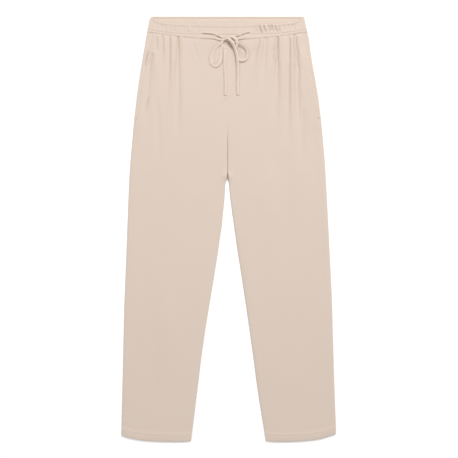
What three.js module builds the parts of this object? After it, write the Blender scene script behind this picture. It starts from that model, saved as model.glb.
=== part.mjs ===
import * as THREE from 'three';
import { mergeVertices } from 'three/addons/utils/BufferGeometryUtils.js';

// Pull-on chinos with a gathered waistband and a drawstring tied in a bow, laid flat on their back.
// Millimetres. +Y runs from the hems to the waist, +X towards the wearer's left, +Z up.
// The surface that they lie on is z = 0. "Drop" is the distance below the back waist edge, and
// "across" is the distance from the centre-front line. Right and left are the wearer's own.

// Driving sizes
const fullLength = 1000;
const centreLineX = -3;
const seamGap = 0.3;
const backWall = 1.4;
const frontWall = 1.3;
const bandWall = 2.4;
const backBandWall = 2.6;
const hemDepth = 18;
const hemTurn = 0.7;
const frontPuff = 1.8;
const edgeRollWidth = 15;
const centreRollWidth = 7;
const centreSeamLevel = 0.55;
const centreSeamFade = 110;
const backBandHeight = 37;
const crotchDrop = 330;
const halfWaist = 188;

// Sizes that follow
const waistY = fullLength / 2;
const seamHalf = seamGap / 2;
const frontBase = backWall + seamGap;
const facingTop = frontBase + frontWall;
const overFacing = frontWall + seamGap - 0.1;
const bandBase = backBandWall + seamGap;

const sideSeams = [
  { drop: 0, right: 180.0, left: 180.0 },
  { drop: 19, right: 185.8, left: 183.6 },
  { drop: 38, right: 188.0, left: 188.0 },
  { drop: 56, right: 191.4, left: 191.9 },
  { drop: 89, right: 197.0, left: 196.2 },
  { drop: 127, right: 203.4, left: 202.4 },
  { drop: 174, right: 210.2, left: 210.6 },
  { drop: 221, right: 215.9, left: 217.4 },
  { drop: 278, right: 222.2, left: 223.2 },
  { drop: 339, right: 227.6, left: 228.6 },
  { drop: 400, right: 231.2, left: 232.2 },
  { drop: 480, right: 234.4, left: 236.4 },
  { drop: 575, right: 237.8, left: 241.0 },
  { drop: 668, right: 241.8, left: 245.6 },
  { drop: 762, right: 244.2, left: 248.0 },
  { drop: 856, right: 246.2, left: 250.8 },
  { drop: 950, right: 248.4, left: 253.6 },
  { drop: 1000, right: 249.2, left: 255.2 },
];

// Inner edges of the legs. From the crotch down to "legsPartDrop" the two legs lie against each other.
const legsPartDrop = 384;
const inseams = [
  { drop: 384, right: 0.15, left: 0.15 },
  { drop: 391, right: 4.4, left: 3.4 },
  { drop: 400, right: 5.4, left: 4.1 },
  { drop: 412, right: 6.0, left: 4.8 },
  { drop: 428, right: 7.0, left: 6.8 },
  { drop: 461, right: 9.8, left: 11.2 },
  { drop: 504, right: 14.8, left: 17.2 },
  { drop: 551, right: 21.9, left: 23.9 },
  { drop: 598, right: 29.2, left: 31.5 },
  { drop: 645, right: 36.7, left: 38.7 },
  { drop: 692, right: 45.0, left: 45.6 },
  { drop: 739, right: 52.4, left: 52.4 },
  { drop: 786, right: 59.4, left: 59.2 },
  { drop: 833, right: 65.0, left: 64.9 },
  { drop: 880, right: 71.0, left: 71.6 },
  { drop: 927, right: 76.6, left: 78.6 },
  { drop: 974, right: 82.2, left: 86.2 },
  { drop: 1000, right: 85.4, left: 90.6 },
];
// Just above that place the front's two edges stand apart over the closed back, and just below it
// they meet the inseams again.
const crotchHollow = { from: 366, to: 384, half: 1.9 };
const crotchBlend = 6;

// The front waistband's two edges: the seam to the panels, and the dipped top edge.
const bandEdges = [
  { across: 0, seam: 56, top: 21.5 },
  { across: 50, seam: 54, top: 20.5 },
  { across: 80, seam: 51.5, top: 19.5 },
  { across: 118, seam: 47.5, top: 18.2 },
  { across: 148, seam: 43, top: 16 },
  { across: 165, seam: 40.5, top: 12.2 },
  { across: 176, seam: 39.2, top: 7.5 },
  { across: 184, seam: 38.4, top: 3 },
  { across: 192, seam: 38, top: 1 },
];

// The slanted pocket mouth, from the waist seam to the side seam.
const pocketMouth = [
  { drop: 38, across: 167 },
  { drop: 79, across: 180.4 },
  { drop: 107, across: 189 },
  { drop: 160, across: 202 },
  { drop: 208, across: 212 },
  { drop: 242, across: 219.6 },
];
const mouthEndDrop = 242;
const facingTurn = 22;
const facingEndDrop = 248;

// Lower edge of a leg, from the side seam (0) to the inseam (1): how far it lies above the lowest point.
const hemCurves = {
  right: [
    { along: 0, up: 15.5 },
    { along: 0.06, up: 11.3 },
    { along: 0.18, up: 6.4 },
    { along: 0.3, up: 3.3 },
    { along: 0.45, up: 1.3 },
    { along: 0.75, up: 0 },
    { along: 0.93, up: 0.7 },
    { along: 1, up: 2.2 },
  ],
  left: [
    { along: 0, up: 19.4 },
    { along: 0.06, up: 15.4 },
    { along: 0.18, up: 8.8 },
    { along: 0.3, up: 4.9 },
    { along: 0.45, up: 2 },
    { along: 0.75, up: 0 },
    { along: 0.93, up: 0.7 },
    { along: 1, up: 2.2 },
  ],
};

// Gathers let down from the waistband into the front panels. Each runs through three places, is raised
// or sunk by "rise" with a soft half width "reach", and dies away over its last stretch.
const folds = {
  right: [
    { a0: 117, d0: 50, a1: 118, d1: 170, a2: 116, d2: 300, rise: -1.6, reach: 3.6 },
    { a0: 137, d0: 60, a1: 138, d1: 130, a2: 142, d2: 215, rise: -1.1, reach: 4.5 },
    { a0: 154, d0: 54, a1: 154, d1: 90, a2: 155, d2: 140, rise: -0.8, reach: 3.4 },
    { a0: 187, d0: 100, a1: 192, d1: 170, a2: 196, d2: 300, rise: -1.0, reach: 5 },
    { a0: 128, d0: 56, a1: 128, d1: 160, a2: 127, d2: 280, rise: 1.2, reach: 5 },
    { a0: 161, d0: 60, a1: 167, d1: 140, a2: 178, d2: 310, rise: 1.1, reach: 6 },
    { a0: 104, d0: 60, a1: 103, d1: 150, a2: 98, d2: 260, rise: 0.7, reach: 6 },
    { a0: 158, d0: 590, a1: 156, d1: 740, a2: 160, d2: 900, rise: 0.8, reach: 22 },
  ],
  left: [
    { a0: 115.6, d0: 46, a1: 115.4, d1: 140, a2: 110, d2: 262, rise: -1.6, reach: 3.6 },
    { a0: 107, d0: 54, a1: 104.6, d1: 90, a2: 101, d2: 145, rise: -0.8, reach: 3.4 },
    { a0: 144.4, d0: 48, a1: 143.4, d1: 160, a2: 142, d2: 330, rise: -1.3, reach: 4 },
    { a0: 158, d0: 44, a1: 165, d1: 150, a2: 176, d2: 305, rise: -1.9, reach: 4 },
    { a0: 112, d0: 50, a1: 111, d1: 120, a2: 108, d2: 190, rise: 0.8, reach: 3 },
    { a0: 130, d0: 50, a1: 129, d1: 150, a2: 125, d2: 290, rise: 1.1, reach: 6 },
    { a0: 152, d0: 50, a1: 154, d1: 160, a2: 159, d2: 320, rise: 1.4, reach: 5 },
    { a0: 181, d0: 90, a1: 186, d1: 170, a2: 196, d2: 280, rise: 0.7, reach: 6 },
    { a0: 80, d0: 50, a1: 73, d1: 98, a2: 67, d2: 160, rise: 1.4, reach: 7 },
    { a0: 141, d0: 330, a1: 142, d1: 470, a2: 144, d2: 640, rise: -0.7, reach: 12 },
  ],
};

const foldStart = 14;
const foldFadeFrom = 0.45;

// Gathers of the front waistband, by side: stretch, pitch, height of the waves and their lean.
const bandGathers = {
  right: [
    { from: 52, to: 84, pitch: 8, height: 0.25, lean: 0 },
    { from: 84, to: 176, pitch: 10.4, height: 0.5, lean: -2 },
  ],
  left: [
    { from: 64, to: 128, pitch: 9, height: 0.85, lean: 5 },
    { from: 128, to: 172, pitch: 9, height: 0.4, lean: 3 },
  ],
};
// The drawstring's tunnel takes up the band's lower part: its share of the band's height.
const tunnelShare = { centre: 0.34, side: 0.2 };
const tunnelRise = 0.5;
const tunnelStitchDip = 0.45;
const tunnelEdge = 0.06;
const tunnelStitchWidth = 0.035;
const gatherFade = 4;
// The waves are shallow over the tunnel and grow to their full height above it.
const gatherGrowth = { low: 0.35, from: 0.3, to: 0.55 };

// The drawstring's routes, on top of the cloth: x, y and z of the tape's middle.
const tapeWidth = 7.2;
const tapeThickness = 1.8;
const tieRoutes = {
  tie_lead_right: [
    { x: -57, y: 454, z: 7.1 },
    { x: -46, y: 453.2, z: 7.1 },
    { x: -34.6, y: 451, z: 7.4 },
    { x: -24, y: 447.2, z: 8.3 },
    { x: -13.2, y: 444.2, z: 9.4 },
  ],
  tie_lead_left: [
    { x: 50.4, y: 454.8, z: 7 },
    { x: 42.4, y: 452.6, z: 7 },
    { x: 32.4, y: 449.4, z: 7.4 },
    { x: 24.4, y: 447, z: 8.4 },
    { x: 17.8, y: 445, z: 9.4 },
  ],
  tie_loop_right: [
    { x: -16.4, y: 436, z: 9.4 },
    { x: -20.8, y: 432.4, z: 9.2 },
    { x: -26.6, y: 426, z: 8.2 },
    { x: -32, y: 418, z: 7 },
    { x: -36.6, y: 408, z: 6.3 },
    { x: -38.8, y: 398, z: 6.1 },
    { x: -36.8, y: 388.6, z: 6.1 },
    { x: -30.6, y: 383, z: 6.1 },
    { x: -23.6, y: 384.8, z: 6.1 },
    { x: -18.6, y: 392.4, z: 6.1 },
    { x: -16.2, y: 403, z: 6.3 },
    { x: -15.6, y: 413, z: 6.6 },
    { x: -14.6, y: 421, z: 7.1 },
    { x: -12.2, y: 427.6, z: 7.8 },
  ],
  tie_loop_left: [
    { x: 18.6, y: 437.4, z: 10 },
    { x: 25, y: 434.8, z: 10 },
    { x: 34.2, y: 429.6, z: 8.6 },
    { x: 42, y: 422.6, z: 7.1 },
    { x: 46, y: 413.6, z: 6.4 },
    { x: 45, y: 403.4, z: 6.2 },
    { x: 39.4, y: 397.4, z: 6.1 },
    { x: 31, y: 396.8, z: 6.1 },
    { x: 24.8, y: 401.4, z: 6.2 },
    { x: 22, y: 409, z: 6.4 },
    { x: 19.6, y: 416, z: 6.7 },
    { x: 16.6, y: 423.4, z: 7.2 },
  ],
  tie_tail_right: [
    { x: -3.4, y: 427.6, z: 7.6 },
    { x: -5.4, y: 419, z: 7.3 },
    { x: -7, y: 404, z: 6.3 },
    { x: -6.8, y: 384, z: 6.1 },
    { x: -5, y: 356, z: 6.1 },
    { x: -4.7, y: 314, z: 6.1 },
  ],
  tie_tail_left: [
    { x: 15.8, y: 429.6, z: 11.6 },
    { x: 19.2, y: 421, z: 10.6 },
    { x: 22, y: 409.6, z: 9.5 },
    { x: 23.6, y: 396, z: 8.9 },
    { x: 24, y: 381, z: 7 },
    { x: 24.2, y: 355, z: 6.2 },
    { x: 24.7, y: 315, z: 6.1 },
  ],
};
const knot = { x: 4.6, y: 438.8, z: 11, halfWidth: 15, halfHeight: 9, halfDepth: 4.5 };

// Materials
const clothColour = '#d8c4b2';
const tieColour = '#d5c0ad';

function makeMaterial(name) {
  const isTie = name.startsWith('tie_');
  const isBand = name.startsWith('waistband_');
  return new THREE.MeshStandardMaterial({
    color: isTie ? tieColour : clothColour,
    roughness: isBand ? 0.94 : 0.92,
    metalness: 0,
  });
}

// Curve helpers

function slopeAt(table, key, column, index) {
  const before = table[Math.max(index - 1, 0)];
  const after = table[Math.min(index + 1, table.length - 1)];
  return (after[column] - before[column]) / (after[key] - before[key]);
}

// Value of a column, on a smooth curve through the rows; flat beyond the ends.
function curveValue(table, key, column, at) {
  const last = table.length - 1;
  if (at <= table[0][key]) return table[0][column];
  if (at >= table[last][key]) return table[last][column];
  const index = table.findIndex((row) => row[key] > at) - 1;
  const low = table[index];
  const high = table[index + 1];
  const span = high[key] - low[key];
  const t = (at - low[key]) / span;
  const startSlope = slopeAt(table, key, column, index) * span;
  const endSlope = slopeAt(table, key, column, index + 1) * span;
  const t2 = t * t;
  const t3 = t2 * t;
  return (2 * t3 - 3 * t2 + 1) * low[column] + (t3 - 2 * t2 + t) * startSlope
    + (3 * t2 - 2 * t3) * high[column] + (t3 - t2) * endSlope;
}

function smoothStep(low, high, value) {
  return THREE.MathUtils.smoothstep(value, low, high);
}

// Rounded shoulder: 0 at the edge, 1 from "width" inwards.
function shoulder(distance, width) {
  const part = THREE.MathUtils.clamp(distance / width, 0, 1);
  return Math.sqrt(1 - (1 - part) ** 2);
}

// Never below zero, with a soft bend.
function softFloor(value) {
  return (value + Math.hypot(value, 0.25)) / 2;
}

function sideSign(side) {
  return side === 'left' ? 1 : -1;
}

// Outline

function sideAcross(side, drop) {
  return curveValue(sideSeams, 'drop', side, drop);
}

function innerAcross(side, drop) {
  return drop < legsPartDrop ? seamHalf : Math.max(seamHalf, curveValue(inseams, 'drop', side, drop));
}

function frontInnerAcross(side, drop) {
  const hollow = crotchHollow.half * smoothStep(crotchHollow.from, crotchHollow.to, drop);
  const beyond = smoothStep(crotchHollow.to, crotchHollow.to + crotchBlend, drop);
  return Math.max(innerAcross(side, drop), seamHalf + hollow * (1 - beyond));
}

function mouthAcross(drop) {
  return curveValue(pocketMouth, 'drop', 'across', drop);
}

function frontOuterAcross(side, drop) {
  const seam = sideAcross(side, drop);
  return drop < mouthEndDrop ? Math.min(seam, mouthAcross(drop)) : seam;
}

function seamDrop(across) {
  return curveValue(bandEdges, 'across', 'seam', across);
}

function bandTopDrop(across) {
  return curveValue(bandEdges, 'across', 'top', across);
}

// Drop of a panel's grid line: straight rows, bent to the waist seam above and to the hem curve below.
const rowBend = { waist: 56, waistFade: 160, hemFade: 880, hemFull: 975 };

function rowDrop(side, station, across, along) {
  const towardsWaist = 1 - smoothStep(rowBend.waist, rowBend.waistFade, station);
  const towardsHem = smoothStep(rowBend.hemFade, rowBend.hemFull, station);
  const seamShift = seamDrop(across) + seamGap - rowBend.waist;
  const hemShift = -curveValue(hemCurves[side], 'along', 'up', along);
  return station + towardsWaist * seamShift + towardsHem * hemShift;
}

// Front panel relief

function foldCentre(fold, drop) {
  const { a0, d0, a1, d1, a2, d2 } = fold;
  const weight0 = ((drop - d1) * (drop - d2)) / ((d0 - d1) * (d0 - d2));
  const weight1 = ((drop - d0) * (drop - d2)) / ((d1 - d0) * (d1 - d2));
  const weight2 = ((drop - d0) * (drop - d1)) / ((d2 - d0) * (d2 - d1));
  return a0 * weight0 + a1 * weight1 + a2 * weight2;
}

function foldRelief(side, across, drop) {
  let relief = 0;
  for (const fold of folds[side]) {
    if (drop < fold.d0 - foldStart || drop > fold.d2) continue;
    const fadeIn = smoothStep(fold.d0 - foldStart, fold.d0, drop);
    const fadeOut = 1 - smoothStep(fold.d0 + (fold.d2 - fold.d0) * foldFadeFrom, fold.d2, drop);
    const offset = (across - foldCentre(fold, drop)) / fold.reach;
    relief += fold.rise * fadeIn * fadeOut * Math.exp(-offset * offset);
  }
  return relief;
}

// How the front panel comes down from what lies under it, and how its rims roll.
const ramp = { besideFar: 18, besideNear: 5, belowNear: 4, belowFar: 34, waistNear: 4, waistFar: 44 };
const rim = { waistLevel: 0.6, hemRoll: 6, reliefFade: 10, hemInside: 1, hemOutside: 2 };

// 1 where the front panel lies over the pocket facing, 0 where it lies straight on the back.
function facingShare(across, drop) {
  const facingEdge = mouthAcross(Math.min(drop, mouthEndDrop)) - facingTurn;
  const besideFacing = smoothStep(facingEdge - ramp.besideFar, facingEdge - ramp.besideNear, across);
  const aboveFacingEnd = 1 - smoothStep(facingEndDrop + ramp.belowNear, facingEndDrop + ramp.belowFar, drop);
  return besideFacing * aboveFacingEnd;
}

// 1 on the turned-up hem, 0 above it.
function hemShare(hemDistance) {
  return 1 - smoothStep(hemDepth - rim.hemInside, hemDepth + rim.hemOutside, hemDistance);
}

function frontTop(side, across, drop, hemDistance) {
  const fromSide = sideAcross(side, drop) - across;
  const fromInner = across - frontInnerAcross(side, drop);
  const fromWaist = drop - seamDrop(across);
  const towardsCrotch = smoothStep(crotchDrop - centreSeamFade, legsPartDrop, drop);
  const seamLevel = centreSeamLevel * (1 - towardsCrotch);
  const rollWidth = THREE.MathUtils.lerp(centreRollWidth, edgeRollWidth, towardsCrotch);
  const innerRoll = seamLevel + (1 - seamLevel) * shoulder(fromInner, rollWidth);
  const overFacingShare = facingShare(across, drop);
  const nearWaist = 1 - smoothStep(ramp.waistNear, ramp.waistFar, fromWaist);
  const waistRaise = overFacing * (1 - overFacingShare) * nearWaist;
  const waistRoll = rim.waistLevel + (1 - rim.waistLevel) * shoulder(fromWaist, edgeRollWidth);
  const hemRoll = shoulder(hemDistance, hemDepth + rim.hemRoll);
  const puff = frontPuff * shoulder(fromSide, edgeRollWidth) * innerRoll * waistRoll * hemRoll;
  const relief = foldRelief(side, across, drop) * smoothStep(0, rim.reliefFade, fromSide);
  const hemBulk = 2 * hemTurn * hemShare(hemDistance);
  const lying = frontBase + overFacing * overFacingShare;
  return lying + softFloor(waistRaise + puff + relief) + frontWall + hemBulk;
}

function frontUnderside(side, across, drop, hemDistance) {
  return frontTop(side, across, drop, hemDistance) - frontWall - hemTurn * hemShare(hemDistance);
}

// Grid walls

// A closed wall from two sheets of points with the same rows and columns, joined round their rim.
// The sheets may run either way round: the triangles are turned so that the faces point out.
function wallGeometry(topRows, bottomRows) {
  const rows = topRows.length;
  const columns = topRows[0].length;
  const points = [];
  const triangles = [];
  for (const sheet of [topRows, bottomRows]) {
    for (const row of sheet) {
      for (const point of row) points.push(...point);
    }
  }
  const [cornerX, cornerY] = topRows[0][0];
  const [acrossX, acrossY] = topRows[0][1];
  const [downX, downY] = topRows[1][0];
  const turn = (acrossX - cornerX) * (downY - cornerY) - (acrossY - cornerY) * (downX - cornerX);
  const last = columns - 1;
  const top = (row, column) => row * columns + column;
  const bottom = (row, column) => (rows + row) * columns + column;
  const quad = (a, b, c, d) => {
    if (turn < 0) triangles.push(a, b, c, a, c, d);
    else triangles.push(a, c, b, a, d, c);
  };
  for (let row = 0; row < rows - 1; row += 1) {
    for (let column = 0; column < columns - 1; column += 1) {
      quad(top(row, column), top(row + 1, column), top(row + 1, column + 1), top(row, column + 1));
      const below = bottom(row + 1, column);
      quad(bottom(row, column), bottom(row, column + 1), bottom(row + 1, column + 1), below);
    }
    quad(top(row, 0), bottom(row, 0), bottom(row + 1, 0), top(row + 1, 0));
    quad(top(row + 1, last), bottom(row + 1, last), bottom(row, last), top(row, last));
  }
  for (let column = 0; column < columns - 1; column += 1) {
    const end = rows - 1;
    quad(top(0, column + 1), bottom(0, column + 1), bottom(0, column), top(0, column));
    quad(top(end, column), bottom(end, column), bottom(end, column + 1), top(end, column + 1));
  }
  const geometry = new THREE.BufferGeometry();
  geometry.setAttribute('position', new THREE.Float32BufferAttribute(points, 3));
  geometry.setIndex(triangles);
  geometry.computeVertexNormals();
  return geometry;
}

// Evenly stepped stations: each stretch ends at "to" after "steps" steps.
function stations(start, stretches) {
  const values = [start];
  for (const { to, steps } of stretches) {
    const from = values[values.length - 1];
    for (let step = 1; step <= steps; step += 1) values.push(from + ((to - from) * step) / steps);
  }
  return values;
}

// Pieces

const frontRows = stations(56, [
  { to: 57.5, steps: 1 },
  { to: 70, steps: 2 },
  { to: 100, steps: 3 },
  { to: 240, steps: 9 },
  { to: 250, steps: 1 },
  { to: 366, steps: 4 },
  { to: 384, steps: 2 },
  { to: 391, steps: 1 },
  { to: 400, steps: 1 },
  { to: 430, steps: 1 },
  { to: 800, steps: 6 },
  { to: 960, steps: 3 },
  { to: 980, steps: 1 },
  { to: 983, steps: 1 },
  { to: 998, steps: 1 },
  { to: 1000, steps: 1 },
]);
// The front's columns, by their distance across at the hip. They run straight down through the gathers,
// squeezed only beyond "fixed", and fan out evenly over the leg.
const frontColumns = stations(200, [
  { to: 198.5, steps: 1 },
  { to: 192, steps: 1 },
  { to: 150, steps: 7 },
  { to: 96, steps: 15 },
  { to: 12, steps: 5 },
  { to: 2, steps: 2 },
  { to: 0, steps: 1 },
]);
const columnSpread = { widest: 200, fixed: 150, fanStart: 300, fanFull: 430 };

function columnAcross(nominal, outer, inner, station) {
  const { widest, fixed, fanStart, fanFull } = columnSpread;
  const beyond = fixed + ((nominal - fixed) * (outer - fixed)) / (widest - fixed);
  const straight = nominal > fixed ? beyond : inner + (nominal * (fixed - inner)) / fixed;
  const fanned = inner + ((outer - inner) * nominal) / widest;
  return THREE.MathUtils.lerp(straight, fanned, smoothStep(fanStart, fanFull, station));
}

function makeFrontPanel(side) {
  const sign = sideSign(side);
  const topRows = [];
  const bottomRows = [];
  for (const station of frontRows) {
    const outer = frontOuterAcross(side, station);
    const inner = frontInnerAcross(side, station);
    const topRow = [];
    const bottomRow = [];
    for (const nominal of frontColumns) {
      const share = 1 - nominal / columnSpread.widest;
      const across = columnAcross(nominal, outer, inner, station);
      const drop = rowDrop(side, station, across, share);
      const hemDistance = fullLength - curveValue(hemCurves[side], 'along', 'up', share) - drop;
      const x = sign * across;
      const y = waistY - drop;
      topRow.push([x, y, frontTop(side, across, drop, hemDistance)]);
      bottomRow.push([x, y, frontUnderside(side, across, drop, hemDistance)]);
    }
    topRows.push(topRow);
    bottomRows.push(bottomRow);
  }
  return wallGeometry(topRows, bottomRows);
}

const backRows = stations(backBandHeight + seamGap, [
  { to: 90, steps: 1 },
  { to: 384, steps: 6 },
  { to: 391, steps: 2 },
  { to: 430, steps: 3 },
  { to: 960, steps: 11 },
  { to: 982, steps: 1 },
  { to: 984, steps: 1 },
  { to: 999.4, steps: 1 },
]);
const backColumns = [0, 0.12, 0.4, 1];
const backInset = 0.5;

// The back panel lies flat. Its rows are straight at the waist and follow the hem curve below.
function makeBackPanel(side) {
  const sign = sideSign(side);
  const topRows = [];
  const bottomRows = [];
  for (const station of backRows) {
    const outer = sideAcross(side, station) - backInset;
    const parted = smoothStep(legsPartDrop, legsPartDrop + crotchBlend, station);
    const inner = innerAcross(side, station) + backInset * parted;
    const towardsHem = smoothStep(rowBend.hemFade, rowBend.hemFull, station);
    const turned = 1 - smoothStep(hemDepth - rim.hemOutside, hemDepth, fullLength - station);
    const topRow = [];
    const bottomRow = [];
    for (const share of backColumns) {
      const x = sign * (outer + (inner - outer) * share);
      const y = waistY - station + towardsHem * curveValue(hemCurves[side], 'along', 'up', share);
      topRow.push([x, y, backWall + hemTurn * turned]);
      bottomRow.push([x, y, 0]);
    }
    topRows.push(topRow);
    bottomRows.push(bottomRow);
  }
  return wallGeometry(topRows, bottomRows);
}

const facingRows = stations(0, [{ to: 1, steps: 14 }]);
const facingColumns = stations(0, [{ to: 0.12, steps: 2 }, { to: 1, steps: 3 }]);
const facingEdgeDrop = 0.5;
const facingEdgeRoll = 4;

// Hip piece inside the pocket mouth: it runs from the side seam in under the front panel.
function makePocketFacing(side) {
  const sign = sideSign(side);
  const topRows = [];
  const bottomRows = [];
  for (const rowShare of facingRows) {
    const topRow = [];
    const bottomRow = [];
    for (const share of facingColumns) {
      const level = seamDrop(halfWaist) + rowShare * (facingEndDrop - seamDrop(halfWaist));
      const outer = sideAcross(side, level);
      const inner = mouthAcross(level) - facingTurn;
      const across = outer + (inner - outer) * share;
      const startDrop = seamDrop(across) + seamGap;
      const drop = startDrop + rowShare * (facingEndDrop - startDrop);
      const edgeFall = facingEdgeDrop * (1 - shoulder(outer - across, facingEdgeRoll));
      topRow.push([sign * across, waistY - drop, facingTop - edgeFall]);
      bottomRow.push([sign * across, waistY - drop, frontBase]);
    }
    topRows.push(topRow);
    bottomRows.push(bottomRow);
  }
  return wallGeometry(topRows, bottomRows);
}

function gatherWave(side, across, upBand) {
  let wave = 0;
  for (const { from, to, pitch, height, lean } of bandGathers[side]) {
    const inside = smoothStep(from - gatherFade, from + gatherFade, across)
      * (1 - smoothStep(to - gatherFade, to + gatherFade, across));
    const phase = (across + lean * upBand - from) / pitch;
    wave += inside * height * (0.5 - 0.5 * Math.cos(2 * Math.PI * phase));
  }
  return wave;
}

const bandColumns = stations(-1, [
  { to: -0.3, steps: 46 },
  { to: 0.3, steps: 10 },
  { to: 1, steps: 50 },
]);
const bandRows = 8;
const bandEdgeRoll = 3;
const bandEdgeLevel = 0.6;
// Where the tunnel narrows from its height at the centre to its height at the sides.
const tunnelBlend = { from: 40, to: 140 };

const besideStitch = 0.05;

// Heights of the band's rows, as shares of the band: seam, tunnel, its stitch line, and up to the top edge.
function bandLevels(stitchLevel) {
  return [0, 0.03, stitchLevel - besideStitch, stitchLevel, stitchLevel + besideStitch, 0.7, 0.93, 1];
}

function makeFrontBand() {
  const topRows = [];
  const bottomRows = [];
  for (let row = 0; row < bandRows; row += 1) {
    const topRow = [];
    const bottomRow = [];
    for (const share of bandColumns) {
      const side = share < 0 ? 'right' : 'left';
      const across = Math.abs(share) * halfWaist;
      const towardsSide = smoothStep(tunnelBlend.from, tunnelBlend.to, across);
      const stitchLevel = THREE.MathUtils.lerp(tunnelShare.centre, tunnelShare.side, towardsSide);
      const level = bandLevels(stitchLevel)[row];
      const height = seamDrop(across) - bandTopDrop(across);
      const drop = seamDrop(across) - level * height;
      const x = share * sideAcross(side, drop);
      const upBand = level * height;
      const grown = smoothStep(gatherGrowth.from, gatherGrowth.to, level);
      const growth = THREE.MathUtils.lerp(gatherGrowth.low, 1, grown);
      const wave = gatherWave(side, across, level) * growth;
      const tunnel = tunnelRise * (1 - smoothStep(stitchLevel - tunnelEdge, stitchLevel, level));
      const stitch = tunnelStitchDip * Math.exp(-(((level - stitchLevel) / tunnelStitchWidth) ** 2));
      const topRoll = THREE.MathUtils.lerp(bandEdgeLevel, 1, shoulder(height - upBand, bandEdgeRoll));
      const underside = bandBase + wave;
      topRow.push([x, waistY - drop, underside + (bandWall + tunnel - stitch) * topRoll]);
      bottomRow.push([x, waistY - drop, underside]);
    }
    topRows.push(topRow);
    bottomRows.push(bottomRow);
  }
  return wallGeometry(topRows, bottomRows);
}

const backBandColumns = stations(-1, [{ to: 1, steps: 24 }]);
const backBandDrops = [backBandHeight, 20, 3, 1, 0];

function makeBackBand() {
  const topRows = [];
  const bottomRows = [];
  for (const drop of backBandDrops) {
    const topRow = [];
    const bottomRow = [];
    for (const share of backBandColumns) {
      const side = share < 0 ? 'right' : 'left';
      const x = share * (sideAcross(side, drop) - backInset);
      const edgeRoll = THREE.MathUtils.lerp(bandEdgeLevel, 1, shoulder(drop, bandEdgeRoll));
      topRow.push([x, waistY - drop, backBandWall * edgeRoll]);
      bottomRow.push([x, waistY - drop, 0]);
    }
    topRows.push(topRow);
    bottomRows.push(bottomRow);
  }
  return wallGeometry(topRows, bottomRows);
}

// Drawstring

const tapeSides = 8;
const tapeStep = 8;
const tapeCorner = 0.924;

function makeTapeSection() {
  const shape = new THREE.Shape();
  for (let corner = 0; corner < tapeSides; corner += 1) {
    const angle = (2 * Math.PI * (corner + 0.5)) / tapeSides;
    const squarer = 1 / Math.max(Math.abs(Math.cos(angle)), Math.abs(Math.sin(angle)), tapeCorner);
    const thickness = (tapeThickness / 2) * Math.cos(angle) * squarer;
    const width = (tapeWidth / 2) * Math.sin(angle) * squarer;
    if (corner === 0) shape.moveTo(thickness, width);
    else shape.lineTo(thickness, width);
  }
  shape.closePath();
  return shape;
}

function makeTape(route) {
  const points = route.map(({ x, y, z }) => new THREE.Vector3(x, y, z));
  const path = new THREE.CatmullRomCurve3(points, false, 'centripetal');
  const steps = Math.ceil(path.getLength() / tapeStep);
  return new THREE.ExtrudeGeometry(makeTapeSection(), { steps, bevelEnabled: false, extrudePath: path });
}

// The knot: a flattened lump whose wraps cross it on a slant.
const wrapSlant = THREE.MathUtils.degToRad(-28);
const wrapPitch = 0.62;
const wrapDepth = 0.07;
const knotSteps = { around: 24, down: 14 };

function makeKnot() {
  const geometry = new THREE.SphereGeometry(1, knotSteps.around, knotSteps.down);
  geometry.deleteAttribute('normal');
  geometry.deleteAttribute('uv');
  const merged = mergeVertices(geometry);
  const positions = merged.attributes.position;
  const point = new THREE.Vector3();
  for (let index = 0; index < positions.count; index += 1) {
    point.fromBufferAttribute(positions, index);
    const alongWrap = point.x * Math.cos(wrapSlant) + point.y * Math.sin(wrapSlant);
    const bulge = 1 - wrapDepth * (0.5 - 0.5 * Math.cos((2 * Math.PI * alongWrap) / wrapPitch));
    positions.setXYZ(
      index,
      knot.x + point.x * knot.halfWidth * bulge,
      knot.y + point.y * knot.halfHeight * bulge,
      knot.z + point.z * knot.halfDepth * bulge,
    );
  }
  merged.computeVertexNormals();
  return merged;
}

// The garment

const group = new THREE.Group();
group.position.x = centreLineX;

function addPiece(name, geometry) {
  const mesh = new THREE.Mesh(geometry, makeMaterial(name));
  mesh.name = name;
  group.add(mesh);
}

for (const side of ['right', 'left']) {
  addPiece(`back_panel_${side}`, makeBackPanel(side));
  addPiece(`pocket_facing_${side}`, makePocketFacing(side));
  addPiece(`front_panel_${side}`, makeFrontPanel(side));
}
addPiece('waistband_back', makeBackBand());
addPiece('waistband_front', makeFrontBand());
for (const [name, route] of Object.entries(tieRoutes)) {
  addPiece(name, makeTape(route));
}
addPiece('tie_knot', makeKnot());

export default group;
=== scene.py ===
import math

import bmesh
import bpy
import numpy as np
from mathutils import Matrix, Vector, noise
from mathutils.bvhtree import BVHTree


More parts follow.
